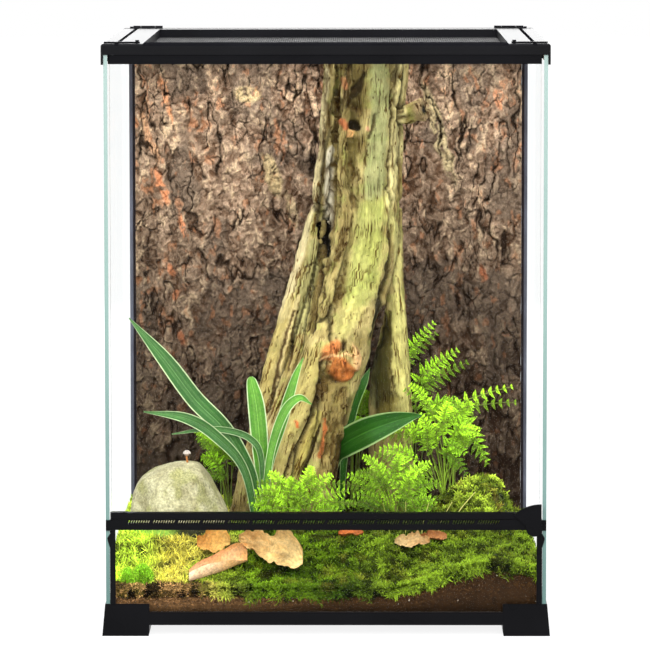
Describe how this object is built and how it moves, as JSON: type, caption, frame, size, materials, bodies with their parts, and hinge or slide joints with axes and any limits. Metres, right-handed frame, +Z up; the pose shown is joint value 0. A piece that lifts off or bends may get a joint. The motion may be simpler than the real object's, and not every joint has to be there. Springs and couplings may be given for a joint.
{
  "type": "glass terrarium",
  "caption": "Tall glass terrarium on corner feet, with a hinged glass front door over a vent strip, a turn latch, and a hinged mesh lid with clips, planted inside.",
  "frame": {"origin": "middle of the footprint, on the plane that the feet stand on", "axes": "+X to the right seen from the front, -Y out of the front door, +Z up"},
  "size_m": [0.4526, 0.4578, 0.6016],
  "materials": {
    "black_plastic": "satin black moulded plastic",
    "clear_glass": "clear float glass with green edges",
    "seal_rubber": "dark silicone bead, smooth",
    "steel_pin": "dark steel pin",
    "mesh_steel": "fine woven wire, coated dark grey",
    "bark": "rough cork bark, matte",
    "trunk_wood": "green-tan bark, matte",
    "soil_mix": "damp loose soil of bark and fibre",
    "moss": "soft live moss",
    "pale_stone": "smooth pebble, matte",
    "mushroom_flesh": "matte",
    "broad_leaf": "waxy leaf with pale margins",
    "fern_leaf": "thin matte frond",
    "dry_stem": "thin dry stem",
    "dry_leaf": "crisp dry leaf, matte",
    "twig_wood": "thin dry twig"
  },
  "bodies": {
    "case": {"base_beam_front": "black_plastic", "base_beam_back": "black_plastic", "base_beam_left": "black_plastic", "base_beam_right": "black_plastic", "foot_front_left": "black_plastic", "foot_front_right": "black_plastic", "foot_back_left": "black_plastic", "foot_back_right": "black_plastic", "floor_pane": "clear_glass", "back_pane": "clear_glass", "left_pane": "clear_glass", "right_pane": "clear_glass", "front_pane": "clear_glass", "post_left": "black_plastic", "post_right": "black_plastic", "vent_strip": "black_plastic", "corner_seal_left": "seal_rubber", "corner_seal_right": "seal_rubber", "top_frame": "black_plastic", "lid_hinge_pins": "steel_pin", "clip_pivots": "black_plastic", "bark_wall": "bark", "soil": "soil_mix", "moss_bed": "moss", "moss_cushion": "moss", "stone": "pale_stone", "mushroom": "mushroom_flesh", "trunk": "trunk_wood", "broadleaf_left": "broad_leaf", "broadleaf_right": "broad_leaf", "fern_back_right": "fern_leaf", "fern_right": "fern_leaf", "fern_middle": "fern_leaf", "fern_front": "fern_leaf", "fern_left": "fern_leaf", "fern_behind": "fern_leaf", "grass_stems": "dry_stem", "dry_leaf_curled": "dry_leaf", "dry_leaf_upper": "dry_leaf", "dry_leaf_crumpled": "dry_leaf", "dry_leaf_small": "dry_leaf", "dry_leaf_orange": "dry_leaf", "dry_leaf_dark": "dry_leaf", "twigs": "twig_wood"},
    "door": {"door_pane": "clear_glass", "door_bottom_rail": "black_plastic", "door_top_rail": "black_plastic", "door_pins": "steel_pin", "latch_pin": "steel_pin"},
    "latch": {"latch_lever": "black_plastic"},
    "lid": {"lid_frame": "black_plastic", "lid_mesh": "mesh_steel"},
    "clip_left": {"clip_left": "black_plastic"},
    "clip_right": {"clip_right": "black_plastic"}
  },
  "joints": [
    {"name": "door_hinge", "type": "hinge", "parent": "case", "child": "door", "pos_m": [-0.213, -0.21745, 0.35], "axis": [0, 0, -1], "range_deg": [0, 100]},
    {"name": "latch_turn", "type": "hinge", "parent": "door", "child": "latch", "pos_m": [0.21, -0.22515, 0.1105], "axis": [0, -1, 0], "range_deg": [0, 90]},
    {"name": "lid_hinge", "type": "hinge", "parent": "case", "child": "lid", "pos_m": [0, 0.21555, 0.598], "axis": [-1, 0, 0], "range_deg": [0, 105]},
    {"name": "clip_left_turn", "type": "hinge", "parent": "case", "child": "clip_left", "pos_m": [-0.1885, -0.21445, 0.5991], "axis": [0, 0, -1], "range_deg": [0, 90]},
    {"name": "clip_right_turn", "type": "hinge", "parent": "case", "child": "clip_right", "pos_m": [0.1885, -0.21445, 0.5991], "axis": [0, 0, 1], "range_deg": [0, 90]}
  ]
}
